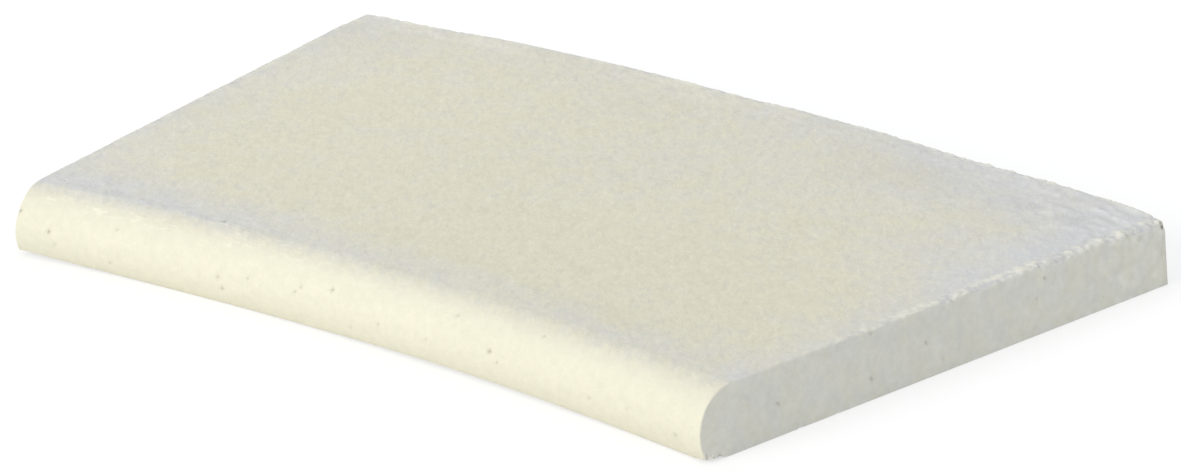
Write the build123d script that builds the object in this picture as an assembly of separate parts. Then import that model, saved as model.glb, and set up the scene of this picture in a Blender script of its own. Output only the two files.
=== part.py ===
from build123d import *
import os
from math import atan, cos, exp, pi, radians, sin, sqrt, tan

# Driving dimensions, in millimetres and degrees.
POOL_RADIUS = 1500.0  # pool centre to the front of the nose
WIDTH = 310.0  # front of the nose to the back edge of the underside
THICKNESS = 33.0  # underside to the crown of the nose
SECTOR = 15.6  # angle between the two ends, at the underside
NOSE_RADIUS = 20.0  # one arc from the top, round the front, to the underside
DRAFT = 3.5  # lean of the ends and of the back, inwards to the top

# The dressed top, level where it leaves the nose, then falling and waving more towards the back.
TOP_FALL = 0.7  # mean fall from the nose to the back
WAVE_HEIGHT = 0.8  # crest above mean height at the back
WAVE_LENGTH = 165.0  # crest to crest, along the back
WAVE_SHIFT = 60.0  # nearest crest to the middle of the stone, towards the right end
LEFT_CORNER_FALL = 1.2  # further fall to the worn corner at the back on the left
RIGHT_CORNER_FALL = 1.5  # the same on the right
CORNER_REACH = 40.0  # how far from a corner that fall is felt

# The worn arris round the ends and the back of the top.
ARRIS_WIDTH = 3.2  # width of the worn band on the top
ARRIS_DEPTH = 2.4  # depth of the band on the face below it
ARRIS_BULGE = 0.3  # rounding of the band between its two edges
ARRIS_LIFT = 1.8  # how far the wear stands clear of the corner beside the nose

POOL_AXIS = Axis.Z
UP = Vector(0, 0, 1)
LEAN = tan(radians(DRAFT))
OVERRUN = 12.0  # how far a shape that is trimmed later runs past the trim
SPARE_ANGLE = 1.0  # the same past each end, in degrees
DEPTH_STEPS = 14  # spans of the dressed top from the nose to the back
LENGTH_STEPS = 24  # spans of the dressed top from end to end


def smooth_step(share):
    """A level-ended curve from 0 at 0 to 1 at 1."""
    share = min(max(share, 0.0), 1.0)
    return share * share * (3 - 2 * share)


def top_height(setback, angle):
    """Height of the dressed top, by distance behind the nose's front and angle off the middle."""
    towards_back = smooth_step((setback - NOSE_RADIUS) / (WIDTH - NOSE_RADIUS))
    along_back = (POOL_RADIUS + WIDTH) * radians(angle)
    wave = WAVE_HEIGHT * cos(2 * pi * (along_back - WAVE_SHIFT) / WAVE_LENGTH)
    to_back = max(WIDTH - setback, 0)
    to_end = max((POOL_RADIUS + setback) * radians(SECTOR / 2 - abs(angle)), 0)
    corner_fall = RIGHT_CORNER_FALL if angle > 0 else LEFT_CORNER_FALL
    corner_share = exp(-(to_end**2 + to_back**2) / CORNER_REACH**2)
    return THICKNESS + towards_back * (wave - TOP_FALL) - corner_share * corner_fall


def radial_plane(angle):
    """The upright plane on the pool's axis, with X as the distance from that axis and Y up."""
    turn = radians(angle)
    return Plane((0, 0, 0), x_dir=(sin(turn), cos(turn), 0), z_dir=(cos(turn), -sin(turn), 0))


def radial_point(angle, distance, height):
    return radial_plane(angle).from_local_coords(Vector(distance, height))


def angles_along():
    """Radial planes at even steps, from past one end to past the other."""
    reach = SECTOR / 2 + SPARE_ANGLE
    return [reach * (2 * step / LENGTH_STEPS - 1) for step in range(LENGTH_STEPS + 1)]


def setback_at(share):
    """From the nose's crown at 0 to past the back at 1."""
    return NOSE_RADIUS + share * (WIDTH + OVERRUN - NOSE_RADIUS)


def dressed_section(angle):
    """The nose's arc and the dressed top on one radial plane, closed below the underside."""
    nose_centre = (POOL_RADIUS + NOSE_RADIUS, THICKNESS - NOSE_RADIUS)
    low = -0.5 * (NOSE_RADIUS - nose_centre[1])
    low_reach = sqrt(NOSE_RADIUS**2 - (nose_centre[1] - low) ** 2)
    nose_low = radial_point(angle, nose_centre[0] - low_reach, low)
    nose_front = radial_point(angle, POOL_RADIUS, nose_centre[1])
    back_low = radial_point(angle, POOL_RADIUS + WIDTH + OVERRUN, low)
    shares = [step / DEPTH_STEPS for step in range(DEPTH_STEPS + 1)]
    top_points = []
    for setback in map(setback_at, shares):
        top_points.append(radial_point(angle, POOL_RADIUS + setback, top_height(setback, angle)))
    level = radial_plane(angle).x_dir
    nose = Edge.make_three_point_arc(nose_low, nose_front, top_points[0])
    top = Edge.make_spline(top_points, tangents=[level, level], parameters=shares)
    back = Edge.make_line(top_points[-1], back_low)
    foot = Edge.make_line(back_low, nose_low)
    return Wire([nose, top, back, foot])


def trimming_block():
    """The true underside, back and ends, with material to spare in front and above."""
    top = THICKNESS + OVERRUN
    front = POOL_RADIUS - OVERRUN
    back = POOL_RADIUS + WIDTH
    with BuildSketch(Plane.XZ) as profile:
        with BuildLine():
            Polyline((front, 0), (back, 0), (back - top * LEAN, top), (front, top), close=True)
        make_face()
    block = revolve(profile.sketch, axis=POOL_AXIS, revolution_arc=SECTOR + 2 * SPARE_ANGLE)
    block = Rot(0, 0, 90 - SECTOR / 2 - SPARE_ANGLE) * block
    for side in (-1, 1):
        end_face = Plane((0, 0, 0), z_dir=side * radial_plane(side * SECTOR / 2).z_dir + UP * LEAN)
        block = split(block, bisect_by=end_face, keep=Keep.BOTTOM)
    return block


def arris_section(foot, outward, height, lift):
    """What wear takes from one corner of face and top: all that lies outside one arc."""
    corner = foot + UP * height - outward * height * LEAN + (outward + UP) * lift
    on_top = corner - outward * ARRIS_WIDTH
    on_face = corner - (UP - outward * LEAN) * ARRIS_DEPTH
    chord = on_face - on_top
    along = chord.normalized()
    bulge_way = UP * along.dot(outward) - outward * along.dot(UP)
    half_arc = 2 * atan(2 * ARRIS_BULGE / chord.length)
    radius = chord.length / (2 * sin(half_arc))
    longer_arc = 1.8 * half_arc
    middle = (on_top + on_face) * 0.5
    sunk_middle = middle - bulge_way * radius * (cos(half_arc) - cos(longer_arc))
    above = sunk_middle - along * radius * sin(longer_arc)
    below = sunk_middle + along * radius * sin(longer_arc)
    clear = 2 * ARRIS_WIDTH
    outline = [above, above + UP * clear, below + (UP + outward) * clear, below + outward * clear, below]
    sides = [Edge.make_line(start, end) for start, end in zip(outline, outline[1:])]
    return Wire(sides + [Edge.make_three_point_arc(below, middle + bulge_way * ARRIS_BULGE, above)])


def end_wear(side):
    """Wear along one end, from none at the nose to the full band at the back."""
    angle = side * SECTOR / 2
    outward = radial_plane(angle).z_dir * side
    sections = []
    for step in range(DEPTH_STEPS + 1):
        share = step / DEPTH_STEPS
        setback = setback_at(share)
        foot = radial_point(angle, POOL_RADIUS + setback, 0)
        sections.append(arris_section(foot, outward, top_height(setback, angle), ARRIS_LIFT * (1 - share)))
    return Solid.make_loft(sections)


def back_wear():
    """Wear along the back edge, following the waves of the top."""
    sections = []
    for angle in angles_along():
        foot = radial_point(angle, POOL_RADIUS + WIDTH, 0)
        sections.append(arris_section(foot, radial_plane(angle).x_dir, top_height(WIDTH, angle), 0))
    return Solid.make_loft(sections)


def coping_stone():
    """The trimmed stone with its worn edges, centred over its underside's box."""
    dressed_body = Solid.make_loft([dressed_section(angle) for angle in angles_along()])
    stone = trimming_block() & dressed_body
    stone -= [end_wear(-1), end_wear(1), back_wear()]
    return Pos(0, -stone.bounding_box().center().Y, 0) * stone


os.makedirs("parts", exist_ok=True)
export_step(coping_stone(), "parts/coping_stone.step")
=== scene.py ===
"""Looks of the curved pool coping stone: the dressed top, worn arrises, smooth nose and pale cast stone."""

import math

import bpy
import numpy as np
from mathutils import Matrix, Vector


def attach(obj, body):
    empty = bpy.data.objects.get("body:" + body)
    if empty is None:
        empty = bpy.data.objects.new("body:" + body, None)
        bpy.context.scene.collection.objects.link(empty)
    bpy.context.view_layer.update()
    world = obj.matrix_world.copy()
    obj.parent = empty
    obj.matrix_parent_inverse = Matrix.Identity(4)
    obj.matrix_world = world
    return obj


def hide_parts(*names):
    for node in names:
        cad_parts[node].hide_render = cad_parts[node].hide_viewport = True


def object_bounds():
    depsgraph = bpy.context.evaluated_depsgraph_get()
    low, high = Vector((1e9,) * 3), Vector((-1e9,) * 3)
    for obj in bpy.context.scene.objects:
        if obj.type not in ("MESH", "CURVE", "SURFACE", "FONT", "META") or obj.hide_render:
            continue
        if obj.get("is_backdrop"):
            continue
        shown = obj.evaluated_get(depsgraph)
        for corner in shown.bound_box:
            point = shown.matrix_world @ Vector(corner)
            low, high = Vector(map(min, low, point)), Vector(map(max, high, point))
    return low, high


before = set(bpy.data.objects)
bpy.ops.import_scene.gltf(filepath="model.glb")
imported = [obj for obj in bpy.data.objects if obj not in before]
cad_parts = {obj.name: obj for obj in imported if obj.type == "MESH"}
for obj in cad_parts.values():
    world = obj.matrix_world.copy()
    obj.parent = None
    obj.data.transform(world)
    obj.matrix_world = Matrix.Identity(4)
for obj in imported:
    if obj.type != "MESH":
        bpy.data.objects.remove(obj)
cad_low, cad_high = (list(corner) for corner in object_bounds())

# Real sizes of the stone in millimetres, the same as in the part's source.
MM = 0.001
POOL_RADIUS = 1500.0
WIDTH = 310.0
THICKNESS = 33.0
HALF_SECTOR = math.radians(15.6) / 2
NOSE_RADIUS = 20.0
LEAN = math.tan(math.radians(3.5))
TOP_FALL, WAVE_HEIGHT, WAVE_LENGTH, WAVE_SHIFT = 0.7, 0.8, 165.0, 60.0
LEFT_CORNER_FALL, RIGHT_CORNER_FALL, CORNER_REACH = 1.2, 1.5, 40.0
NOSE_CENTRE_HEIGHT = THICKNESS - NOSE_RADIUS
NOSE_FOOT_SETBACK = 4.8
BACK_RADIUS = POOL_RADIUS + WIDTH
POOL_CENTRE_Y = -1648.0609

# How far the worn edges lie under the nominal top, in millimetres, at places along each edge.
# The back edge runs from the left end to the right end, and the ends run from the nose to the back.
BACK_EDGE_WEAR = (
    (-248, 1.9), (-240, 1.9), (-231, 1.1), (-219, 1.8), (-206, 1.6), (-193, 1.2), (-180, 0.9), (-162, 0.1),
    (-120, -0.1), (-98, -0.1), (-85, -0.1), (-66, 0.2), (-45, 0.7), (-29, 0.6), (-18, 1.1), (-7, 0.9),
    (4, 0.8), (25, 0.1), (36, 0.7), (42, 0.45), (55, 0.6), (76, 0.5), (84, 1.0), (95, 1.1), (110, 1.6),
    (120, 1.6), (140, 1.55), (158, 0.9), (172, 0.4), (187, 0.5), (197, 0.4), (208, 0.0), (218, 0.0),
    (226, 0.4), (231, 0.6), (238, 0.6), (243, 1.2), (248, 2.2))
LEFT_EDGE_WEAR = (
    (0, 0.0), (25, -0.1), (36, 0.1), (51, 0.2), (64, 0.2), (75, 0.1), (86, -0.1), (116, -0.1), (125, -0.1),
    (133, -0.1), (170, -0.1), (180, 0.2), (203, 0.0), (215, 0.0), (229, 0.5), (242, 0.2), (280, 0.0),
    (290, 0.9), (300, 1.1), (310, 1.5))
RIGHT_EDGE_WEAR = (
    (0, 0.0), (110, 0.0), (140, 0.2), (180, 0.3), (205, 0.6), (228, 0.4), (246, 0.9), (262, 0.7), (276, 1.2),
    (290, 1.0), (302, 1.3), (310, 1.6))
EDGE_REACH = 13.0
# How far the nose's foot has crumbled up from the bed, at places along the pool's edge line.
FOOT_WEAR = (
    (-206, 2.3), (-196, 2.5), (-186, 1.8), (-165, 1.0), (-140, 0.35), (-110, 0.0), (-30, 0.45), (0, 1.0),
    (40, 1.5), (100, 1.35), (130, 0.85), (165, 0.3), (194, 0.4), (200, 1.2), (206, 1.7))
END_FOOT_REACH = 7.0

# Radius of the worn roundings, in millimetres: along each end from the nose to the back, and along the back.
# A share of it counts as wear already, because the rounding hides the sharp edge.
RIGHT_ROUNDING = (
    (0, 0.5), (12, 0.7), (60, 1.0), (130, 1.5), (200, 2.4), (250, 3.2), (295, 3.4), (310, 2.6))
LEFT_ROUNDING = ((0, 0.3), (12, 0.2), (32, 0.2), (50, 0.5), (80, 0.8), (200, 1.1), (310, 1.5))
BACK_ROUNDING = 1.5
CORNER_ROUNDING = 1.2
LEFT_SHARE_HIDDEN, BACK_SHARE_HIDDEN = 0.38, 0.3

# Air holes left by the casting, in millimetres. On the nose: place along the pool's edge line, height in
# degrees above level, radius, and how deep and dark it is, up to 1.
NOSE_HOLES = (
    (-201.7, 29, 0.7, 0.5), (-184, 9, 0.8, 0.6), (-181, -8, 0.7, 0.2), (-146, 33, 0.7, 0.25),
    (-149, -16, 0.7, 0.3), (-96.5, 93, 0.9, 0.6), (-85, 4, 0.8, 0.35), (-82.7, -11, 0.8, 0.5),
    (-67.7, 13, 0.7, 0.3), (-39.7, 13, 0.7, 0.35), (-36.7, 21, 0.7, 0.3), (-19, 29, 0.8, 0.5),
    (10, 2, 0.8, 0.25), (-7, -16, 0.7, 0.25), (52.7, 45, 0.8, 0.3), (38.3, 2, 0.7, 0.25),
    (76, 13, 0.9, 0.6), (80.7, 2, 0.7, 0.35), (136.3, -3, 0.7, 0.25), (159, 2, 0.7, 0.2),
    (188.3, -9, 0.9, 0.3), (101.7, 55, 0.7, 0.3))
# On the right end: place behind the nose's front, height, radius, and how deep and dark it is.
END_HOLES = (
    (48.5, 15, 1.0, 0.35), (107.7, 31, 0.9, 0.25), (107.7, 9.5, 0.9, 0.4), (143.5, 17, 0.7, 0.3),
    (223.5, 26, 0.9, 0.35), (218, 17, 0.6, 0.2), (154, 6.5, 0.6, 0.15), (12, 1.2, 0.8, 0.7),
    (305.3, 31.0, 0.8, 1.0), (305.6, 29.2, 0.7, 0.7))
# Chips broken off the right end's foot: setback, height, radius and depth in millimetres.
CHIPS = ((6.0, 0.5, 4.0, 0.35), (11.0, 0.0, 2.6, 0.35), (62.0, 0.0, 1.6, 0.4), (85.0, 0.0, 1.4, 0.3))

# How the grid is drawn in round each hole: up to where, and how far its shift and its narrowing reach.
SNAP_LIMIT, SHIFT_REACH, DRAW_REACH = 6.0, 2.4, 2.2
# Places no higher than this lie on the bed.
ON_BED = 1e-6
# How far in from an edge its worn arris is crumbly.
CRUMB_REACH = 4.0
# The way the finishing float was drawn across the top, in degrees from +X and as a direction.
FLOAT_DEGREES, FLOAT_WAY = 128, (-0.62, 0.79)
# The scratch on the top: its middle in metres, and its way in degrees from +X.
SCRATCH_MIDDLE, SCRATCH_DEGREES = (-0.00077, -0.0205, 0.0), 105.1

# Soft patches on the top: middle along the back's length, middle behind the nose's front, reach each way,
# and change. The first list takes the bluish bloom away, and the second makes the stone lighter or darker.
WARM_PATCHES = (
    (60, 90, 110, 45, 0.15), (-168, 200, 18, 80, 0.12), (10, 220, 60, 60, -0.10), (95, 268, 60, 26, 0.11),
    (-20, 170, 150, 45, -0.06))
TONE_PATCHES = (
    (112, 272, 40, 22, -0.035), (-205, 37, 9, 8, -0.03), (20, 215, 45, 35, -0.012),
    (100, 40, 60, 8, -0.012), (-225, 75, 25, 30, 0.012), (-215, 215, 30, 60, 0.008))
# Strength of the bluish line behind the nose, from left to right, and of the haze up over the nose.
LINE_STRENGTH = (
    (-260, 0.86), (-160, 0.76), (-100, 0.66), (-40, 0.50), (40, 0.38), (90, 0.34), (160, 0.41), (240, 0.28))
NOSE_HAZE = ((0, 0), (4.5, 0), (8.5, 0.18), (13, 0.17), (18, 0.05), (21, 0), (400, 0))

# Colours in steps of 0 to 255.
BEIGE, GREY, CREAM = (217, 213, 194), (208, 209, 210), (221, 218, 199)
WARM_END, COOL_END = (220, 219, 207), (218, 218, 211)
# The crease colour is painted shade between the crumbs of the worn arrises, and the crumb colour a painted
# highlight on their backs.
CREASE_SHADE, CRUMB_HIGHLIGHT = (196, 197, 197), (228, 226, 213)
LIGHT_FLECK, DARK_FLECK = (229, 227, 214), (190, 191, 194)
CHIP_DARK, CHIP_LIGHT = (192, 190, 182), (238, 237, 228)
HOLE_SHADOW = (118, 112, 92)

# The grid: rows up the nose, over the top and down the back, and columns from the left end to the right end.
NOSE_ROWS, TOP_ROWS, ROUNDING_ROWS, BACK_ROWS = 36, 200, 5, 8
COLUMNS = 316
END_ROUNDING_COLUMNS = 6
END_FACE_ROWS = 15
BED_BORDER = 10.0
SHARP_EDGE = math.radians(42)
# How far every place stays inside the CAD box.
ROOM = 0.004

# The camera, fitted to the photo's outline, and the lamps.
CAMERA_PLACE = (1.49708, -1.88662, 0.93189)
CAMERA_TURN = (math.radians(90 - 20.9601), 0.0, math.radians(38.1352))
LENS, SENSOR_WIDTH = 166.1026, 36.0
LIGHT_WAY, LIGHT_STRENGTH, LIGHT_SPREAD, WARM_WHITE = (0.25, 0.9, -0.43), 1.6, 25, (1.0, 0.975, 0.93)
SURROUND_STRENGTH, COOL_WHITE = 0.825, (0.97, 0.985, 1.0, 1)


def smooth_step(share):
    """Rises from 0 to 1 with level ends: three times the share squared, less twice its cube."""
    share = np.clip(share, 0.0, 1.0)
    return share * share * (3 - 2 * share)


def bell(distance, reach):
    """Falls from 1 on both sides: e to the power of minus the square of distance over reach."""
    return np.exp(-(distance / reach)**2)


def along_table(table, place):
    """Reads a table of (place, value) pairs with smooth-stepped runs between its places."""
    places, values = np.array(table, float).T
    index = np.clip(np.searchsorted(places, place) - 1, 0, len(places) - 2)
    share = smooth_step((place - places[index]) / (places[index + 1] - places[index]))
    return values[index] + share * (values[index + 1] - values[index])


def lumps(points, size, seed):
    """Even lumps from -1 to 1 about one size apart: random values on a cubic lattice, blended by smooth
    steps."""
    lattice = np.random.default_rng(seed).uniform(-1, 1, (64, 64, 64))
    place = points / size + 1000.0
    corner = np.floor(place).astype(int)
    share = smooth_step(place - corner)
    total = np.zeros(points.shape[:-1])
    for dx in (0, 1):
        for dy in (0, 1):
            for dz in (0, 1):
                weight = (np.abs(1 - dx - share[..., 0]) * np.abs(1 - dy - share[..., 1])
                          * np.abs(1 - dz - share[..., 2]))
                total += weight * lattice[(corner[..., 0] + dx) % 64, (corner[..., 1] + dy) % 64,
                                          (corner[..., 2] + dz) % 64]
    return total


def billows(points, size, seed):
    """Round crumbs with sharp creases between them, from 0 to about 1: the even lumps without their sign."""
    return np.abs(lumps(points, size, seed))


def inside_edges(setback, angle):
    """Distances along the bed to the back edge and to the nearer end, neither under 0."""
    to_back = np.maximum(WIDTH - setback, 0)
    to_end = np.maximum((POOL_RADIUS + setback) * (HALF_SECTOR - np.abs(angle)), 0)
    return to_back, to_end


def from_end_face(setback, height, angle):
    """Distance in from the nearer end face, which leans inwards to the top."""
    return (POOL_RADIUS + setback) * (HALF_SECTOR - np.abs(angle)) - height * LEAN


def cast_top(setback, angle):
    """Height of the cast top, as in the part's source: it falls to the back, waves along it and drops at the
    two back corners. The setback is behind the nose's front, and the angle is off the middle."""
    towards_back = smooth_step((setback - NOSE_RADIUS) / (WIDTH - NOSE_RADIUS))
    wave = WAVE_HEIGHT * np.cos(2 * np.pi * (BACK_RADIUS * angle - WAVE_SHIFT) / WAVE_LENGTH)
    to_back, to_end = inside_edges(setback, angle)
    corner_fall = np.where(angle > 0, RIGHT_CORNER_FALL, LEFT_CORNER_FALL)
    corner_share = np.exp(-(to_end**2 + to_back**2) / CORNER_REACH**2)
    return THICKNESS + towards_back * (wave - TOP_FALL) - corner_share * corner_fall


def worn_top(setback, angle):
    """The cast top, drawn down or up near the back and the ends until the edges lie as worn as the tables
    say: each edge's change is carried inwards by a bell."""
    to_back, to_end = inside_edges(setback, angle)
    behind_nose = smooth_step((setback - NOSE_RADIUS) / 20)
    at_back = cast_top(np.full_like(setback, WIDTH), angle)
    back_wear = along_table(BACK_EDGE_WEAR, BACK_RADIUS * angle) - BACK_SHARE_HIDDEN * BACK_ROUNDING
    back_change = (THICKNESS - back_wear - at_back) * bell(to_back, EDGE_REACH)
    at_end = cast_top(setback, np.where(angle > 0, HALF_SECTOR, -HALF_SECTOR))
    left_hidden = LEFT_SHARE_HIDDEN * along_table(LEFT_ROUNDING, setback)
    end_wear = np.where(angle > 0, along_table(RIGHT_EDGE_WEAR, setback),
                        along_table(LEFT_EDGE_WEAR, setback) - left_hidden)
    end_change = (THICKNESS - end_wear - at_end) * bell(to_end, EDGE_REACH) * behind_nose
    in_corner = bell(to_back, EDGE_REACH) * bell(to_end, EDGE_REACH)
    return cast_top(setback, angle) + back_change * (1 - in_corner) + end_change


def place_on_ring(setback, height, angle):
    """Turns a setback, a height and an angle off the middle into the stone's frame, in millimetres."""
    radius = POOL_RADIUS + setback
    return np.stack([radius * np.sin(angle), radius * np.cos(angle) + POOL_CENTRE_Y, height], axis=-1)


def polar(places):
    """Setback behind the nose's front in millimetres, and angle off the middle in radians."""
    x, y = places[..., 0], places[..., 1] - POOL_CENTRE_Y
    return np.hypot(x, y) - POOL_RADIUS, np.arctan2(x, y)


def eased_shares(count, first_thin, last_thin, reach):
    """Shares from 0 to 1 in uneven steps: a step is one, less a bell's height near the first and the last
    end, and the steps are summed and divided by their total, so that the grid is finer where the wear is."""
    middle = (np.arange(count) + 0.5) / count
    steps = 1 - first_thin * bell(middle, reach) - last_thin * bell(1 - middle, reach)
    return np.concatenate([[0.0], np.cumsum(steps) / steps.sum()])


def row_shares():
    """One row of the grid for each step: which part it is on, 0 up the nose, 1 over the top, 2 round the back
    arris and 3 down the back, and its share of that part."""
    nose = np.linspace(0, 1, NOSE_ROWS + 1)
    top = eased_shares(TOP_ROWS, 0.25, 0.4, 0.06)[1:]
    rounding = np.linspace(0, 1, ROUNDING_ROWS + 1)[1:]
    back = np.linspace(0, 1, BACK_ROWS + 1)[1:]
    parts = (nose, top, rounding, back)
    kind = np.concatenate([np.full(len(part), number) for number, part in enumerate(parts)])
    return kind, np.concatenate(parts)


def section(angle):
    """The stone's outline across its length, one row for each share: the nose's arc from its foot, the worn
    top, a quarter-round arris and the leaning back. Gives setback, height and the inward direction in the
    section, as its two parts."""
    kind, share = row_shares()
    kind, share = kind[:, None], share[:, None]
    parts = [kind == 0, kind == 1, kind == 2]
    angle = np.broadcast_to(angle, (len(kind), np.shape(angle)[-1]))
    foot = -np.arcsin((NOSE_CENTRE_HEIGHT - along_table(FOOT_WEAR, POOL_RADIUS * angle)) / NOSE_RADIUS)
    turn = foot + (math.pi / 2 - foot) * share
    edge_height = worn_top(np.full_like(angle, WIDTH - BACK_ROUNDING), angle)
    last_setback = WIDTH - (edge_height - BACK_ROUNDING) * LEAN - BACK_ROUNDING
    top_setback = NOSE_RADIUS + (last_setback - NOSE_RADIUS) * share
    edge_turn = math.pi / 2 * (1 - share)
    back_height = (edge_height - BACK_ROUNDING) * (1 - share)
    setback = np.select(parts, [
        NOSE_RADIUS * (1 - np.cos(turn)), top_setback,
        last_setback + BACK_ROUNDING * np.cos(edge_turn)], WIDTH - back_height * LEAN)
    height = np.select(parts, [
        NOSE_CENTRE_HEIGHT + NOSE_RADIUS * np.sin(turn), worn_top(top_setback, angle),
        edge_height - BACK_ROUNDING * (1 - np.sin(edge_turn))], back_height)
    level = 0 * angle
    into_setback = np.select(parts, [np.cos(turn), level, level - np.cos(edge_turn)], -1.0)
    into_height = np.select(parts, [-np.sin(turn), level - 1, level - np.sin(edge_turn)], 0.0)
    return setback, height, into_setback, into_height


def end_rounding(side):
    """Radius of the worn rounding on each row of one end, as a column: small on the nose, growing along the
    top to the back, and small again down the back."""
    kind, share = row_shares()
    table = RIGHT_ROUNDING if side > 0 else LEFT_ROUNDING
    on_top = NOSE_RADIUS + (WIDTH - NOSE_RADIUS) * share
    radius = along_table(table, np.select([kind == 0, kind == 1], [NOSE_RADIUS * share, on_top], WIDTH))
    to_corner = radius + (CORNER_ROUNDING - radius) * share
    return np.select([kind < 2, kind == 2], [radius, to_corner], CORNER_ROUNDING)[:, None]


def end_columns(side):
    """The grid's columns past one end of its middle. The first go round the worn arris on a quarter circle,
    inwards in the section as they go outwards along the stone. The others go straight down the end face to
    its foot, where they are spread more evenly and lifted near the nose as the foot is."""
    radius = end_rounding(side)
    turn = np.linspace(0, math.pi / 2, END_ROUNDING_COLUMNS + 1)[None, 1:]
    edge_angle = np.full((1, END_ROUNDING_COLUMNS), side * HALF_SECTOR)
    setback, height, into_setback, into_height = section(edge_angle)
    drop = radius * (1 - np.cos(turn))
    setback, height = setback + into_setback * drop, np.maximum(height + into_height * drop, 0.0)
    from_end = radius * (1 - np.sin(turn)) + height * LEAN
    rounded = place_on_ring(setback, height, side * (HALF_SECTOR - from_end / (POOL_RADIUS + setback)))
    edge_setback, edge_height = setback[:, -1:], height[:, -1:]
    front, back = edge_setback[0, 0], edge_setback[-1, 0]
    down = np.linspace(0, 1, END_FACE_ROWS + 1)[None, 1:]
    row = np.linspace(0, 1, len(radius))[:, None]
    spread = 0.25 * row + 0.75 * np.clip((edge_setback - front) / (back - front), 0, 1)
    foot_setback = front + (back - front) * spread
    lift = along_table(FOOT_WEAR, POOL_RADIUS * side * HALF_SECTOR) * bell(foot_setback - front, END_FOOT_REACH)
    face_height = lift + (edge_height - lift) * (1 - down)
    face_setback = edge_setback + (foot_setback - edge_setback) * smooth_step(down)
    face_angle = side * (HALF_SECTOR - face_height * LEAN / (POOL_RADIUS + face_setback))
    return np.concatenate([rounded, place_on_ring(face_setback, face_height, face_angle)], axis=1)


def skin():
    """The whole outer skin but the underside as one grid of places in millimetres: a row for each step of the
    section and a column for each step along the stone. Its middle columns run from end to end, less each
    end's rounding and lean, and the columns of both ends go on from them."""
    share = (2 * eased_shares(COLUMNS, 0.15, 0.45, 0.05) - 1)[None, :]
    setback, height = section(HALF_SECTOR * share)[:2]
    left, right = (HALF_SECTOR - (end_rounding(side) + height * LEAN) / (POOL_RADIUS + setback)
                   for side in (-1, 1))
    angle = np.where(share < 0, share * left, share * right)
    setback, height = section(angle)[:2]
    middle = place_on_ring(setback, height, angle)
    return np.concatenate([end_columns(-1)[:, ::-1], middle, end_columns(1)], axis=1)


def outward(places):
    """Outward direction at each place of the grid: the cross product of its steps along the rows and the
    columns, divided by its length."""
    normal = np.cross(np.gradient(places, axis=1), np.gradient(places, axis=0))
    length = np.linalg.norm(normal, axis=-1, keepdims=True)
    return normal / np.maximum(length, 1e-9)


def ridges(places, setback, angle):
    """Low drawn-out ridges on the dressed top, as a height of about -1 to 1: lumps stretched along the stone
    in the back right corner, fainter all along the back, and just behind the nose, there most to the left."""
    along = BACK_RADIUS * angle
    stretched = np.stack([along * 0.3, setback + 0.12 * along, places[..., 2]], axis=-1)
    corner = smooth_step((along - 125) / 90) * smooth_step((setback - 235) / 45)
    corner = np.maximum(corner, 0.45 * smooth_step((setback - 278) / 22))
    corner_ridges = 0.9 * lumps(stretched, 4.0, 26) + 0.9 * lumps(places, 3.4, 27)
    nose_line = bell(setback - 23, 11) * (0.35 + 0.65 * smooth_step((-30 - along) / 120))
    nose_ridges = (0.7 * lumps(stretched, 2.6, 24) + 0.5 * lumps(stretched, 5.0, 28)
                   + 0.8 * lumps(places, 3.2, 29))
    return 1.3 * corner * corner_ridges + 0.75 * nose_line * nose_ridges


def air_holes():
    """The middle of each air hole in the stone's frame, with its radius and depth: on the nose's arc by its
    rise in degrees, and on the leaning right end by its setback and height."""
    holes = []
    for along, degrees, radius, depth in NOSE_HOLES:
        rise = math.radians(degrees)
        centre = place_on_ring(NOSE_RADIUS * (1 - math.cos(rise)),
                               NOSE_CENTRE_HEIGHT + NOSE_RADIUS * math.sin(rise), along / POOL_RADIUS)
        holes.append((centre, radius, depth))
    for setback, height, radius, depth in END_HOLES:
        angle = HALF_SECTOR - height * LEAN / (POOL_RADIUS + setback)
        holes.append((place_on_ring(setback, height, angle), radius, depth))
    return holes


def snap_to(centres, places):
    """Moves the nearest grid place onto each air hole's middle and draws its neighbours halfway in, less so
    the further they are, so that even a small hole has its own round of points."""
    for centre in centres:
        nearest = np.unravel_index(np.argmin(np.linalg.norm(places - centre, axis=-1)), places.shape[:2])
        away = np.linalg.norm(places - places[nearest], axis=-1, keepdims=True)
        near = (away < SNAP_LIMIT) & ((places[..., 2:] > ON_BED) | (centre[2] < ON_BED))
        places += near * (centre - places[nearest]) * bell(away, SHIFT_REACH)
        inwards = centre - places
        places += near * inwards * 0.5 * bell(np.linalg.norm(inwards, axis=-1, keepdims=True), DRAW_REACH)
        places[nearest] = centre


def fine_relief(places, setback, angle, below_top, arris, on_nose):
    """Height of the fine relief along the normals, in millimetres: faint ripples and low ridges on the
    dressed top, a smoother nose, and lumpy ends that lie a little inside the block."""
    x, y, height = places[..., 0], places[..., 1], places[..., 2]
    floated = np.stack([(x * FLOAT_WAY[0] + y * FLOAT_WAY[1]) * 0.4,
                        x * FLOAT_WAY[1] - y * FLOAT_WAY[0], height], axis=-1)
    ripples = 0.07 * lumps(places, 34.0, 21) + 0.06 * lumps(floated, 7.0, 22) + 0.07 * lumps(floated, 3.0, 23)
    from_end = from_end_face(setback, height, angle)
    on_end = smooth_step((0.5 - from_end) / 0.5) * smooth_step((below_top - 3.0) / 3.0)
    relief = (1 - on_nose) * (below_top < 0.9) * (1 - arris) * ripples
    relief += (1 - arris) * (below_top < 6) * 0.32 * ridges(places, setback, angle)
    relief += on_nose * 0.03 * lumps(places, 5.0, 25)
    relief += on_end * (0.10 * lumps(places, 14.0, 31) + 0.08 * lumps(places, 4.0, 32) - 0.09)
    return relief


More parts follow.
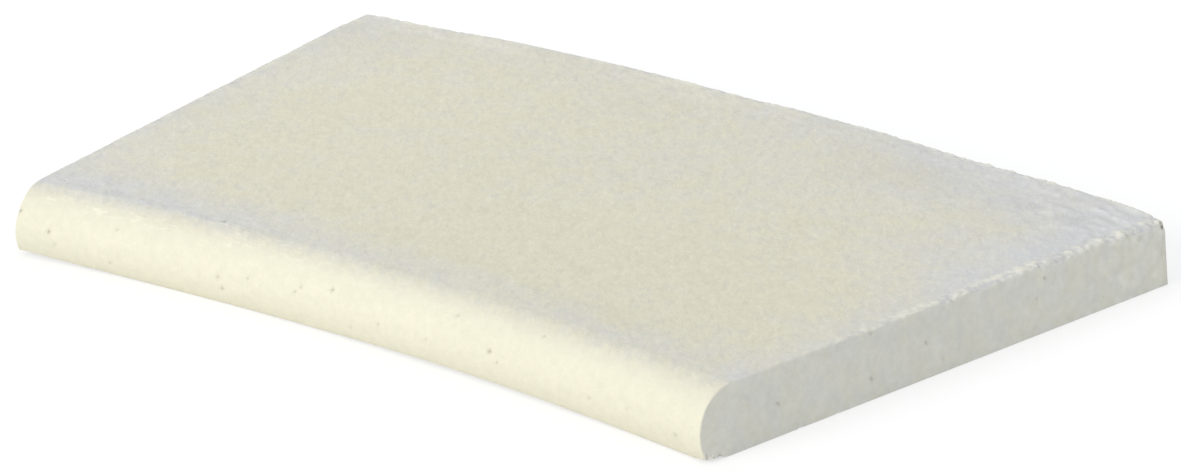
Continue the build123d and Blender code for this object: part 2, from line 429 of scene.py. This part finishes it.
def knock_off_chips(places, moved):
    """Breaks the chips off the right end's foot: each moves the places round it towards the stone's heart,
    with a lumpy limit and depth. Gives how far each place is broken, from 0 to 1."""
    broken = np.zeros(places.shape[:2])
    for back, up, radius, depth in CHIPS:
        centre = place_on_ring(back, up, HALF_SECTOR - up * LEAN / (POOL_RADIUS + back))
        heart = place_on_ring(np.clip(back, 12, WIDTH - 12), THICKNESS / 2, HALF_SECTOR - 0.008)
        inward = (heart - centre) / np.linalg.norm(heart - centre)
        away = np.linalg.norm(places - centre, axis=-1) / radius
        chipped = smooth_step(1.4 - away * (1 + 0.4 * lumps(places, 2.6, 51)))
        moved += inward * (depth * chipped * (0.7 + 0.5 * lumps(places, 1.8, 52)))[..., None]
        broken = np.maximum(broken, chipped)
    return broken


def kept_in_block(moved):
    """The places, drawn back inside the back face, the two leaning ends and the CAD box."""
    height = moved[..., 2]
    setback, angle = polar(moved)
    setback = np.clip(setback, 0.0, WIDTH - height * LEAN)
    limit = HALF_SECTOR - height * LEAN / (POOL_RADIUS + setback)
    kept = place_on_ring(setback, height, np.clip(angle, -limit, limit))
    return np.clip(kept, np.array(cad_low) / MM + (ROOM, ROOM, 0.0), np.array(cad_high) / MM - ROOM)


def weathered(places):
    """Moves the skin along its normals: crumbly lumps on the worn arrises, the fine relief, air holes and
    chips. Gives the new places, and how far each is in a hole, on a worn arris, on a crumb and chipped."""
    holes = air_holes()
    snap_to([centre for centre, radius, depth in holes], places)
    normal = outward(places)
    setback, angle = polar(places)
    height = places[..., 2]
    below_top = np.maximum(cast_top(setback, angle) - height, 0)
    on_nose = smooth_step((NOSE_RADIUS + 4 - setback) / 10)
    right = angle > 0
    worn = np.where(right, smooth_step((setback - 30) / 150), 0.5 * smooth_step((setback - 20) / 60))
    near_end = bell(np.maximum(from_end_face(setback, height, angle), 0), CRUMB_REACH + 2.0 * worn)
    near_back = bell(np.maximum(WIDTH - height * LEAN - setback, 0), CRUMB_REACH)
    crumbled = np.maximum(near_end * (0.15 + 0.85 * worn), near_back * 0.6) * bell(below_top, CRUMB_REACH)
    arris = crumbled * (1 - 0.9 * on_nose)
    crumbs = (1.6 * billows(places, 3.5, 12) + 0.8 * billows(places, 2.0, 13) + 0.5 * lumps(places, 9.0, 11)
              - 0.60)
    move = arris * crumbs * (0.70 + 0.30 * right * worn)
    move += fine_relief(places, setback, angle, below_top, arris, on_nose)
    move *= 0.15 + 0.85 * smooth_step(height / 1.5)
    hole = np.zeros(height.shape)
    for centre, radius, depth in holes:
        dent = bell(np.linalg.norm(places - centre, axis=-1), radius)
        move -= (0.3 + 0.7 * depth) * dent
        hole = np.maximum(hole, depth * dent)
    moved = places + normal * move[..., None]
    broken = knock_off_chips(places, moved)
    on_bed = (height <= ON_BED) & (broken < 0.05)
    moved[..., 2] = np.where(on_bed, 0.0, np.maximum(moved[..., 2], 0.0))
    # The crumb value sets the crumbs' painted highlight and the painted shade in their creases.
    marks = {"hole": hole, "arris": crumbled * (1 - on_nose), "crumb": smooth_step((crumbs + 0.5) / 1.1),
             "chip": broken}
    return kept_in_block(moved), marks


def towards_left(along):
    """Smooth-stepped from 0 at 20 mm left of the middle to 1 at 160 mm left of it."""
    return smooth_step((-20 - along) / 140)


def patches(table, along, setback):
    """Adds up soft patches: each is its change times a bell round its middle, with its own reach each way."""
    total = 0 * along
    for middle, back, reach, depth_reach, change in table:
        total += change * np.exp(-((along - middle) / reach)**2 - ((setback - back) / depth_reach)**2)
    return total


def bluish_bloom(setback, angle, wander):
    """How bluish grey the stone is, from 0 in its warm middle to 1: it fades in from the left end, the back,
    the right end and the line behind the nose, each by its own bell or decay, and most at the back right
    corner."""
    along = BACK_RADIUS * angle
    to_back = np.maximum(WIDTH - setback, 0)
    to_left = np.maximum(BACK_RADIUS * (HALF_SECTOR + angle), 0)
    to_right = np.maximum(BACK_RADIUS * (HALF_SECTOR - angle), 0)
    uneven = 1 + 0.35 * wander
    left = 0.56 * np.exp(-to_left / (26.0 * uneven))
    back = 0.45 * np.exp(-to_back / (34.0 * uneven))
    corner = 0.85 * np.exp(-(to_back / (62.0 * uneven))**1.5) * smooth_step((along + 50) / 210)
    right_strength = 0.46 + 0.5 * smooth_step((setback - 110) / 100)
    right_width = 27.0 + 22.0 * smooth_step((setback - 90) / 120)
    right = right_strength * bell(to_right, right_width * uneven)
    leftness = towards_left(along)
    line = along_table(LINE_STRENGTH, along) * bell(np.maximum(setback - 21, 0), (20.0 + 8 * leftness) * uneven)
    right_start = smooth_step((setback - 12) / 13)
    left_start = (0.62 * smooth_step((setback - 9) / 11)
                  + 0.38 * smooth_step((setback - 16.4 - 1.5 * wander) / 2.4))
    top = 1 - (1 - left) * (1 - back) * (1 - corner) * (1 - right) * (1 - line)
    start = leftness * left_start + (1 - leftness) * right_start
    return np.clip(along_table(NOSE_HAZE, setback) + top * start, 0, 1)


def tones_and_painted_light(places, setback, angle, wander, fine):
    """How much lighter or darker than its colour the stone is: a little lighter to the left, darker at the
    line behind the nose and along the back, and lighter towards the back of the right end. Painted light is
    added to it: a painted highlight on the ridges' crests with painted shade in their troughs, painted bounce
    light at the nose's foot and at the right end's foot, and a painted shade line down that end's back edge."""
    height, along = places[..., 2], BACK_RADIUS * angle
    leftness = towards_left(along)
    to_left = (POOL_RADIUS + setback) * (HALF_SECTOR + angle)
    on_end = from_end_face(setback, height, angle) < 0.3
    on_right_end = on_end & (angle > 0)
    tone_and_painted_light = -0.028 * along / 246 + 0.008 * wander + 0.004 * lumps(places, 42.0, 45)
    tone_and_painted_light -= 0.02 * np.exp(-to_left / 14)
    behind_nose = (0.02 + 0.03 * np.exp(-to_left / 45)) * bell(setback - 21, 4.5)
    tone_and_painted_light -= leftness * ~on_end * (0.02 * bell(setback - 12, 9) + behind_nose)
    tone_and_painted_light += 0.02 * smooth_step((along + 20) / 140) * bell(setback - 18.5, 4)
    tone_and_painted_light += 0.005 * smooth_step((setback - 45) / 30)
    tone_and_painted_light -= 0.016 * smooth_step((setback - 225) / 55) * smooth_step((along + 245) / 50)
    # Painted highlight on the ridges' crests and painted shade in their troughs, over their own relief.
    ridge = ridges(places, setback, angle)
    tone_and_painted_light += 0.04 * ridge + 0.03 * np.maximum(ridge, 0)**2
    # Painted bounce light from the floor, lighter towards the nose's foot.
    tone_and_painted_light += 0.045 * bell(height, 5) * (setback < 14)
    tone_and_painted_light += on_right_end * (0.032 * smooth_step((setback - 170) / 130) + 0.008 * fine)
    # Painted bounce light low on the right end, lighter towards its foot.
    tone_and_painted_light += 0.022 * on_right_end * bell(height, 12) * smooth_step((setback - 20) / 50)
    # Painted shade down the right end's back edge, where its rounding turns away from the main light.
    tone_and_painted_light -= 0.10 * on_right_end * bell(WIDTH - height * LEAN - setback, 1.3)
    return tone_and_painted_light + patches(TONE_PATCHES, along, setback)


def stains_and_painted_light(places):
    """The stone's slow changes of colour, as values on its skin: the bluish bloom, the cream nose, and how
    light or dark the stone is, with painted highlights, painted bounce light and painted shade in that last."""
    setback, angle = polar(places)
    along = BACK_RADIUS * angle
    wander = 0.6 * lumps(places, 30.0, 41) + 0.4 * lumps(places, 11.0, 42)
    fine = 0.6 * lumps(places, 6.0, 43) + 0.4 * lumps(places, 3.0, 44)
    bloom = bluish_bloom(setback, angle, wander + 0.5 * fine)
    bloom += 0.07 * lumps(places, 24.0, 46) * smooth_step((setback - 15) / 20)
    bloom -= patches(WARM_PATCHES, along, setback)
    cream = smooth_step((16.0 - 0.5 * towards_left(along) - setback + 1.2 * fine) / 12.0)
    return {"bloom": np.clip(bloom, -0.3, 1.0), "cream": cream,
            "tone_and_painted_light": tones_and_painted_light(places, setback, angle, wander, fine)}


def closed_shell(places):
    """Joins the grid's places into quads, closes the foot corners of the end faces with triangles, and closes
    the underside with a narrow border round one flat face. Gives every place, first the grid's and then the
    border's, and for each face the numbers of its places."""
    rows, columns = places.shape[:2]
    index = np.arange(rows * columns).reshape(rows, columns)
    # The first and last row of an end face lie on its foot corner, so each is one point.
    first, last = END_FACE_ROWS, columns - 1 - END_FACE_ROWS
    for row in (0, rows - 1):
        index[row, :first] = index[row, first]
        index[row, last + 1:] = index[row, last]
    corners = [index[:-1, :-1], index[:-1, 1:], index[1:, 1:], index[1:, :-1]]
    quads = np.stack(corners, axis=-1).reshape(-1, 4)
    foot = np.concatenate([index[0, ::-1], index[:, 0], index[-1, :], index[::-1, -1]])
    foot = foot[foot != np.roll(foot, 1)]
    flat = places.reshape(-1, 3)
    setback, angle = polar(flat[foot])
    limit = HALF_SECTOR - BED_BORDER / (POOL_RADIUS + setback)
    inner = place_on_ring(np.clip(setback, NOSE_FOOT_SETBACK + BED_BORDER, WIDTH - BED_BORDER), 0 * setback,
                          np.clip(angle, -limit, limit))
    fresh = np.linalg.norm(inner - np.roll(inner, 1, axis=0), axis=1) > 1e-4
    inner_index = rows * columns + (np.cumsum(fresh) - 1) % fresh.sum()
    bed = np.stack([foot, np.roll(foot, -1), np.roll(inner_index, -1), inner_index], axis=-1)
    faces = [tuple(dict.fromkeys(quad)) for quad in np.concatenate([quads, bed]).tolist()]
    faces = [face for face in faces if len(face) > 2]
    faces.append(tuple(dict.fromkeys(inner_index.tolist())))
    return np.concatenate([flat, inner[fresh]]), faces


def stone_mesh(name):
    """The closed shell of the weathered skin as a mesh in metres, without the places that no face uses, and
    with the wear, the stains and the painted light as values at each of its points."""
    places, marks = weathered(skin())
    marks.update(stains_and_painted_light(places))
    every, faces = closed_shell(places)
    used = np.unique(np.concatenate([np.array(face) for face in faces]))
    new_number = np.full(len(every), -1)
    new_number[used] = np.arange(len(used))
    faces = [tuple(new_number[list(face)].tolist()) for face in faces]
    mesh = bpy.data.meshes.new(name)
    mesh.from_pydata((every[used] * MM).tolist(), [], faces)
    for label, on_skin in marks.items():
        attribute = mesh.attributes.new(label, "FLOAT", "POINT")
        values = np.zeros(len(every))
        values[:on_skin.size] = on_skin.reshape(-1)
        attribute.data.foreach_set("value", values[used].astype(np.float32))
    mesh.update()
    mesh.polygons.foreach_set("use_smooth", np.ones(len(mesh.polygons), bool))
    mesh.set_sharp_from_angle(angle=SHARP_EDGE)
    return mesh


def srgb(red, green, blue):
    """A colour in steps of 0 to 255, as the linear values that shader sockets take."""
    steps = np.array([red, green, blue]) / 255
    linear = np.where(steps <= 0.04045, steps / 12.92, ((steps + 0.055) / 1.055)**2.4)
    return (*linear.tolist(), 1.0)


class Wiring:
    """Short forms for adding and joining the nodes of one material or of the surroundings."""

    def __init__(self, tree):
        self.nodes, self.links = tree.nodes, tree.links
        self.nodes.clear()

    def node(self, kind, inputs=None, **settings):
        """Adds a node. An input is joined to another node's output, or set to a plain value."""
        made = self.nodes.new(kind)
        for key, value in settings.items():
            setattr(made, key, value)
        for key, value in (inputs or {}).items():
            if isinstance(value, bpy.types.NodeSocket):
                self.links.new(value, made.inputs[key])
            else:
                made.inputs[key].default_value = value
        return made

    def maths(self, operation, first, second=0.0, third=0.0, clamp=False):
        """One sum on up to three values, kept between 0 and 1 where asked."""
        inputs = {0: first, 1: second, 2: third}
        return self.node("ShaderNodeMath", inputs, operation=operation, use_clamp=clamp).outputs[0]

    def times(self, *factors):
        """All the factors multiplied together."""
        product = factors[0]
        for factor in factors[1:]:
            product = self.maths("MULTIPLY", product, factor)
        return product

    def without(self, share):
        """What a share leaves of 1."""
        return self.maths("SUBTRACT", 1.0, share)

    def about_one(self, value, spread):
        """Turns a value from 0 to 1 into a factor with its middle at 1."""
        return self.maths("MULTIPLY_ADD", value, spread, 1 - spread / 2)

    def ramp(self, value, low, high):
        """0 at or under low, 1 at or over high, smooth between. The two may be given the other way round."""
        made = self.node("ShaderNodeMapRange", {
            "Value": value, "From Min": min(low, high), "From Max": max(low, high),
            "To Min": float(low > high), "To Max": float(low < high)}, interpolation_type="SMOOTHSTEP")
        return made.outputs["Result"]

    def blend(self, share, under, over, kind="MIX"):
        """One colour laid over another. Each is another node's output, or three steps of 0 to 255."""
        made = self.node("ShaderNodeMix", data_type="RGBA", blend_type=kind)
        for number, value in ((0, share), (6, under), (7, over)):
            if isinstance(value, bpy.types.NodeSocket):
                self.links.new(value, made.inputs[number])
            else:
                made.inputs[number].default_value = srgb(*value) if isinstance(value, tuple) else value
        return made.outputs[2]

    def noise(self, place, size_mm, detail=2.0, roughness=0.5, distortion=0.0):
        """Noise about one size across, from 0 to 1 with its middle at a half."""
        return self.node("ShaderNodeTexNoise", {
            "Vector": place, "Scale": 1000 / size_mm, "Detail": detail, "Roughness": roughness,
            "Distortion": distortion}).outputs["Fac"]

    def turned(self, place, degrees, location=(0, 0, 0), scale=(1, 1, 1)):
        """The place as read on axes that are moved, turned about the upright and stretched."""
        return self.node("ShaderNodeMapping", {
            "Vector": place, "Location": location, "Rotation": (0, 0, math.radians(degrees)),
            "Scale": scale}, vector_type="TEXTURE").outputs[0]


def grains(w, place):
    """The stone's grain: noise of several sizes, and flecks where it is high or low. The float was drawn
    across the stone at a slant, so the strokes, blotches and flecks are longer that way."""
    floated = w.turned(place, FLOAT_DEGREES, scale=(2.0, 1.0, 1.0))
    return {
        "strokes": w.noise(floated, 3.0, 4, 0.62),
        "blotches": w.noise(floated, 8.0, 3, 0.55),
        "mottle": w.noise(place, 4.5, 4, 0.6),
        "fine": w.noise(place, 1.5, 3, 0.6),
        "light": w.ramp(w.noise(floated, 2.3, 3, 0.6), 0.50, 0.64),
        "dark": w.ramp(w.noise(floated, 3.4, 3, 0.6), 0.50, 0.36)}


def crazing(w, place, on_end):
    """Fine pale lines of shrinkage crazing, drawn out along the nose, where the bloom meets the cream: noise
    laid along the pool's curve, shown where it is near its middle value, mostly to the left."""
    pool_centre = (0, POOL_CENTRE_Y * MM, 0)
    from_pool = w.node("ShaderNodeVectorMath", {0: place, 1: pool_centre}, operation="SUBTRACT").outputs[0]
    x, y, height = w.node("ShaderNodeSeparateXYZ", {0: from_pool}).outputs
    level = w.node("ShaderNodeVectorMath", {0: from_pool, 1: (1, 1, 0)}, operation="MULTIPLY").outputs[0]
    radius = w.node("ShaderNodeVectorMath", {0: level}, operation="LENGTH").outputs["Value"]
    angle = w.maths("ARCTAN2", x, y)
    ring = w.node("ShaderNodeCombineXYZ", {0: w.times(angle, 0.28), 1: radius, 2: height}).outputs[0]
    off_middle = w.maths("ABSOLUTE", w.maths("SUBTRACT", w.noise(ring, 4.5, 2.0, 0.6, 0.3), 0.5))
    setback = w.maths("MULTIPLY_ADD", radius, 1000.0, -POOL_RADIUS)
    near_line = w.times(w.ramp(setback, 3.0, 9.0), w.ramp(setback, 42.0, 18.0), w.ramp(angle, 0.09, -0.09))
    high_up = w.times(w.ramp(height, 0.012, 0.022), w.without(on_end))
    broken_up = w.ramp(w.noise(place, 9.0), 0.42, 0.62)
    return w.times(w.ramp(off_middle, 0.045, 0.008), near_line, high_up, broken_up)


def painted_scratch_shading(w, place):
    """One shallow scratch near the middle of the top, about 21 mm long, drawn by colour alone: painted shade in
    its groove and a painted highlight on the lip beside it."""
    on_scratch = w.turned(place, SCRATCH_DEGREES, location=SCRATCH_MIDDLE)
    run, across, height = w.node("ShaderNodeSeparateXYZ", {0: on_scratch}).outputs
    on_run = w.times(w.ramp(w.maths("ABSOLUTE", run), 0.0125, 0.0085), w.ramp(height, 0.02, 0.03))
    # Painted shade in the groove and a painted highlight on its lip; the scratch has no relief.
    groove_shade = w.ramp(w.maths("ABSOLUTE", w.maths("ADD", across, -0.0005)), 0.0007, 0.0002)
    lip_highlight = w.ramp(w.maths("ABSOLUTE", w.maths("ADD", across, 0.0005)), 0.0008, 0.0002)
    return w.times(w.maths("MULTIPLY_ADD", groove_shade, -0.05, w.times(lip_highlight, 0.05)), on_run)


def plain_colour(w, place, mark, grain, on_end):
    """The stone's colour before its light and dark: beige that turns bluish grey with the bloom, unevenly, a
    cream nose and clouded ends."""
    flecks = w.maths("MULTIPLY_ADD", grain["light"], -0.15, w.times(grain["dark"], 0.12))
    drift = w.maths("MULTIPLY_ADD", w.noise(place, 15.0, 2, 0.5), 0.7, -0.34)
    bloom = w.maths("ADD", mark["bloom"], w.maths("MULTIPLY_ADD", grain["blotches"], 0.3, -0.15))
    bloom = w.maths("ADD", bloom, w.maths("ADD", flecks, drift), clamp=True)
    colour = w.blend(mark["cream"], w.blend(bloom, BEIGE, GREY), CREAM)
    ends = w.blend(w.ramp(w.noise(place, 14.0, 3, 0.6), 0.35, 0.65), WARM_END, COOL_END)
    return w.blend(on_end, colour, ends)


def light_and_dark(w, place, mark, grain, on_end, calm, quiet, lines):
    """The grain as a factor about 1 that multiplies the colour: strokes and flecks on the dressed top, a
    plain mottle on the nose and the ends, the slow tones with their painted light, the scratch's painted
    shade and highlight, dark specks and the crazing."""
    dressed = w.maths("ADD", w.about_one(grain["strokes"], 0.18), w.times(grain["light"], 0.038))
    dressed = w.maths("ADD", dressed, w.times(grain["dark"], -0.038))
    dressed = w.times(dressed, w.about_one(grain["blotches"], 0.10))
    clouds = w.maths("MULTIPLY_ADD", w.noise(place, 9.0, 3, 0.6), w.times(on_end, 0.12), 1.0)
    clouds = w.maths("SUBTRACT", clouds, w.times(on_end, 0.06))
    smooth = w.times(w.about_one(grain["mottle"], 0.16), clouds)
    shade = w.node("ShaderNodeMix", {0: calm, 2: dressed, 3: smooth}).outputs[0]
    # The tones carry painted highlights, painted bounce light and painted shade as well as the stone's own
    # tone.
    shade = w.times(shade, w.about_one(grain["fine"], 0.10), w.maths("ADD", mark["tone_and_painted_light"], 1.0))
    # The scratch is painted shade and a painted highlight.
    shade = w.maths("ADD", shade, painted_scratch_shading(w, place))
    pepper = w.node("ShaderNodeTexVoronoi", {"Vector": place, "Scale": 1000 / 6.0}).outputs["Distance"]
    shade = w.maths("ADD", shade, w.times(w.ramp(pepper, 0.11, 0.05), quiet, -0.09))
    return w.maths("ADD", shade, w.times(lines, 0.095))


def broken_colour(w, place, mark, on_end, colour):
    """Lays the broken places' colours over the stone's. Crumbs on the worn arrises get a painted highlight on
    their backs and painted shade in the creases, and the end face cuts them off. Chips have a fresh speckle."""
    worn = w.times(w.ramp(mark["arris"], 0.12, 0.6), w.without(on_end))
    flecks = w.noise(place, 2.4, 2, 0.6)
    # Painted shade in the crumbs' creases and a painted highlight on their backs, then the arris flecks.
    for share, over in ((w.maths("MULTIPLY_ADD", mark["crumb"], -0.6, 0.6), CREASE_SHADE),
                        (w.times(mark["crumb"], 0.68), CRUMB_HIGHLIGHT),
                        (w.times(w.ramp(flecks, 0.54, 0.66), 0.45), LIGHT_FLECK),
                        (w.times(w.ramp(flecks, 0.46, 0.34), 0.25), DARK_FLECK)):
        colour = w.blend(w.times(worn, share), colour, over)
    speckle = w.blend(w.ramp(w.noise(place, 1.6, 2, 0.6), 0.42, 0.56), CHIP_DARK, CHIP_LIGHT)
    colour = w.blend(w.times(w.ramp(mark["chip"], 0.3, 0.8), 0.7), colour, speckle)
    return w.blend(mark["hole"], colour, HOLE_SHADOW)


def cast_stone():
    """Pale cast stone: a warm beige middle, a bluish grey bloom round its edges, a smooth cream nose and
    greyer ends, with a fine mottled grain, short strokes from the finishing float and dark air holes."""
    material = bpy.data.materials.new("cast_stone")
    material.use_nodes = True
    w = Wiring(material.node_tree)
    place = w.node("ShaderNodeTexCoord").outputs["Object"]
    normal = w.node("ShaderNodeNewGeometry").outputs["Normal"]
    sideways = w.node("ShaderNodeSeparateXYZ", {0: normal}).outputs[0]
    mark = {label: w.node("ShaderNodeAttribute", attribute_name=label).outputs["Fac"]
            for label in ("bloom", "cream", "tone_and_painted_light", "arris", "crumb", "chip", "hole")}
    grain = grains(w, place)
    on_end = w.ramp(w.maths("ABSOLUTE", sideways), 0.70, 0.88)
    calm = w.maths("MAXIMUM", mark["cream"], on_end)
    quiet = w.maths("MULTIPLY_ADD", calm, -0.5, 1.0)
    lines = crazing(w, place, on_end)
    shade = light_and_dark(w, place, mark, grain, on_end, calm, quiet, lines)
    factor = w.node("ShaderNodeCombineXYZ", {0: shade, 1: shade, 2: shade}).outputs[0]
    colour = w.blend(1.0, plain_colour(w, place, mark, grain, on_end), factor, "MULTIPLY")
    colour = broken_colour(w, place, mark, on_end, colour)
    relief = w.maths("ADD", w.times(grain["strokes"], 0.5), w.times(grain["fine"], 0.5))
    relief = w.maths("ADD", w.times(relief, quiet), w.times(lines, 0.2))
    bump = w.node("ShaderNodeBump", {"Height": relief, "Strength": 0.5, "Distance": 0.0008}).outputs[0]
    shader = w.node("ShaderNodeBsdfPrincipled", {
        "Base Color": colour, "Roughness": w.maths("MULTIPLY_ADD", grain["mottle"], 0.12, 0.72),
        "Normal": bump, "Specular IOR Level": 0.25})
    w.node("ShaderNodeOutputMaterial", {0: shader.outputs[0]})
    return material


def seen_plainly(w):
    """1 for what the camera sees, also in a reflection or through glass, and 0 for what lights the stone."""
    path = w.node("ShaderNodeLightPath").outputs
    reflected = w.maths("MAXIMUM", path["Is Glossy Ray"], path["Is Transmission Ray"])
    return w.maths("MAXIMUM", path["Is Camera Ray"], reflected)


def pale_floor():
    """A wide level floor under the stone. The camera sees it near white, with the stone's soft shadow kept."""
    material = bpy.data.materials.new("studio_floor")
    material.use_nodes = True
    w = Wiring(material.node_tree)
    matt = w.node("ShaderNodeBsdfDiffuse", {"Color": (0.8, 0.8, 0.8, 1)})
    white = w.node("ShaderNodeBsdfDiffuse", {"Color": (1, 1, 1, 1)})
    glow = w.node("ShaderNodeEmission", {"Color": (1, 1, 1, 1), "Strength": 1.02})
    shown = w.node("ShaderNodeMixShader", {0: 0.6, 1: white.outputs[0], 2: glow.outputs[0]})
    both = w.node("ShaderNodeMixShader", {0: seen_plainly(w), 1: matt.outputs[0], 2: shown.outputs[0]})
    w.node("ShaderNodeOutputMaterial", {0: both.outputs[0]})
    mesh = bpy.data.meshes.new("floor")
    mesh.from_pydata([(-6, -6, 0), (6, -6, 0), (6, 6, 0), (-6, 6, 0)], [], [(0, 1, 2, 3)])
    mesh.materials.append(material)
    floor = bpy.data.objects.new("floor", mesh)
    bpy.context.collection.objects.link(floor)
    floor.location.z = -0.0002
    floor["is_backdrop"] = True


def surroundings():
    """Even white surroundings: they light the stone a little coolly, and the camera sees them plain."""
    world = bpy.data.worlds.new("surroundings")
    bpy.context.scene.world = world
    world.use_nodes = True
    w = Wiring(world.node_tree)
    even = w.node("ShaderNodeBackground", {"Color": COOL_WHITE, "Strength": SURROUND_STRENGTH})
    plain = w.node("ShaderNodeBackground", {"Strength": 1.0})
    both = w.node("ShaderNodeMixShader", {0: seen_plainly(w), 1: even.outputs[0], 2: plain.outputs[0]})
    w.node("ShaderNodeOutputWorld", {0: both.outputs[0]})


def soft_light():
    """A far, wide and warm main light, low in front on the nose's side."""
    lamp = bpy.data.lights.new("main_light", "SUN")
    lamp.energy, lamp.angle, lamp.color = LIGHT_STRENGTH, math.radians(LIGHT_SPREAD), WARM_WHITE
    stand = bpy.data.objects.new("main_light", lamp)
    bpy.context.collection.objects.link(stand)
    stand.rotation_euler = Vector(LIGHT_WAY).to_track_quat("-Z", "Y").to_euler()


def photo_camera():
    """The camera at the photo's place, with colours shown as they are."""
    lens = bpy.data.cameras.new("camera")
    lens.sensor_fit = "HORIZONTAL"
    lens.sensor_width = SENSOR_WIDTH
    lens.lens = LENS
    lens.clip_start, lens.clip_end = 0.05, 50.0
    camera = bpy.data.objects.new("camera", lens)
    bpy.context.collection.objects.link(camera)
    camera.location = CAMERA_PLACE
    camera.rotation_euler = CAMERA_TURN
    bpy.context.scene.camera = camera
    bpy.context.scene.view_settings.view_transform = "Standard"


stone = bpy.data.objects.new("stone_dressed", stone_mesh("stone_dressed"))
bpy.context.collection.objects.link(stone)
stone.data.materials.append(cast_stone())
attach(stone, "root")
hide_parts("coping_stone")
pale_floor()
surroundings()
soft_light()
photo_camera()
